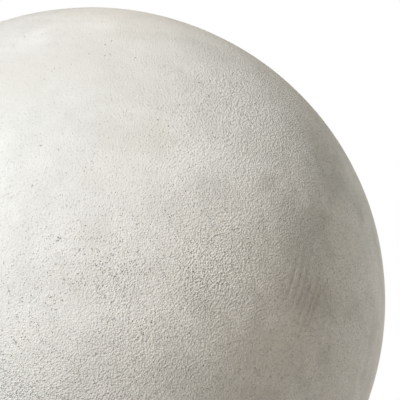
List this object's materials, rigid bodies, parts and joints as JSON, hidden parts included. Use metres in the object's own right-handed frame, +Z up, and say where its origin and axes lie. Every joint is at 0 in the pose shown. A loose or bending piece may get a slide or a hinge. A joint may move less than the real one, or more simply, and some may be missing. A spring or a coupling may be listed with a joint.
{
  "type": "garden stone ball lantern",
  "caption": "Hollow trowelled stone ball that lifts off a low foot with a ring-shaped light under its rim.",
  "frame": {"origin": "on the ground, under the middle of the foot", "axes": "+Z up along the ball's own axis, and the light's driver lies towards +Y inside the foot"},
  "size_m": [0.4998, 0.5, 0.5002],
  "materials": {
    "skim_plaster": "trowelled fine stone plaster, matt, sandy grain with pinholes and burnished patches",
    "cast_stone": "as-cast stone, matt, open pores",
    "mortar": "matt fine mortar",
    "ring_steel": "brushed stainless steel",
    "brass": "turned brass",
    "base_coat": "dark grey fine-textured powder coat on cast aluminium",
    "bare_aluminium": "as-machined aluminium",
    "screw_steel": "stainless screws",
    "black_rubber": "matt black rubber",
    "seal_rubber": "matt grey silicone rubber",
    "opal": "opal acrylic, satin",
    "strip_white": "white flexible circuit",
    "led_yellow": "yellow phosphor over white LED package",
    "driver_case": "dark grey moulded case",
    "terminal_plastic": "off-white moulded block",
    "lead_sheath": "black lead sheath",
    "vent_plastic": "black moulded breather"
  },
  "bodies": {
    "foot": {"base_plate": "base_coat", "rubber_feet": "black_rubber", "pedestal": "bare_aluminium", "base_screws": "screw_steel", "seat_plate": "ring_steel", "seat_screws": "screw_steel", "seat_gasket": "black_rubber", "locating_pins": "screw_steel", "diffuser": "opal", "lower_seal": "seal_rubber", "upper_seal": "seal_rubber", "led_strip": "strip_white", "led_chips": "led_yellow", "driver": "driver_case", "driver_screws": "screw_steel", "terminal_block": "terminal_plastic", "terminal_screw": "screw_steel", "supply_lead": "lead_sheath", "led_lead": "lead_sheath", "cable_grommet": "black_rubber", "vent_plug": "vent_plastic", "vent_nut": "vent_plastic"},
    "ball": {"skim_coat": "skim_plaster", "upper_shell": "cast_stone", "lower_shell": "cast_stone", "joint_mortar": "mortar", "mouth_ring": "ring_steel", "ring_ferrules": "brass", "ring_screws": "screw_steel"}
  },
  "joints": [
    {"name": "ball_lift", "type": "slide", "parent": "foot", "child": "ball", "axis": [0, 0, 1], "range_m": [0, 0.12]}
  ]
}
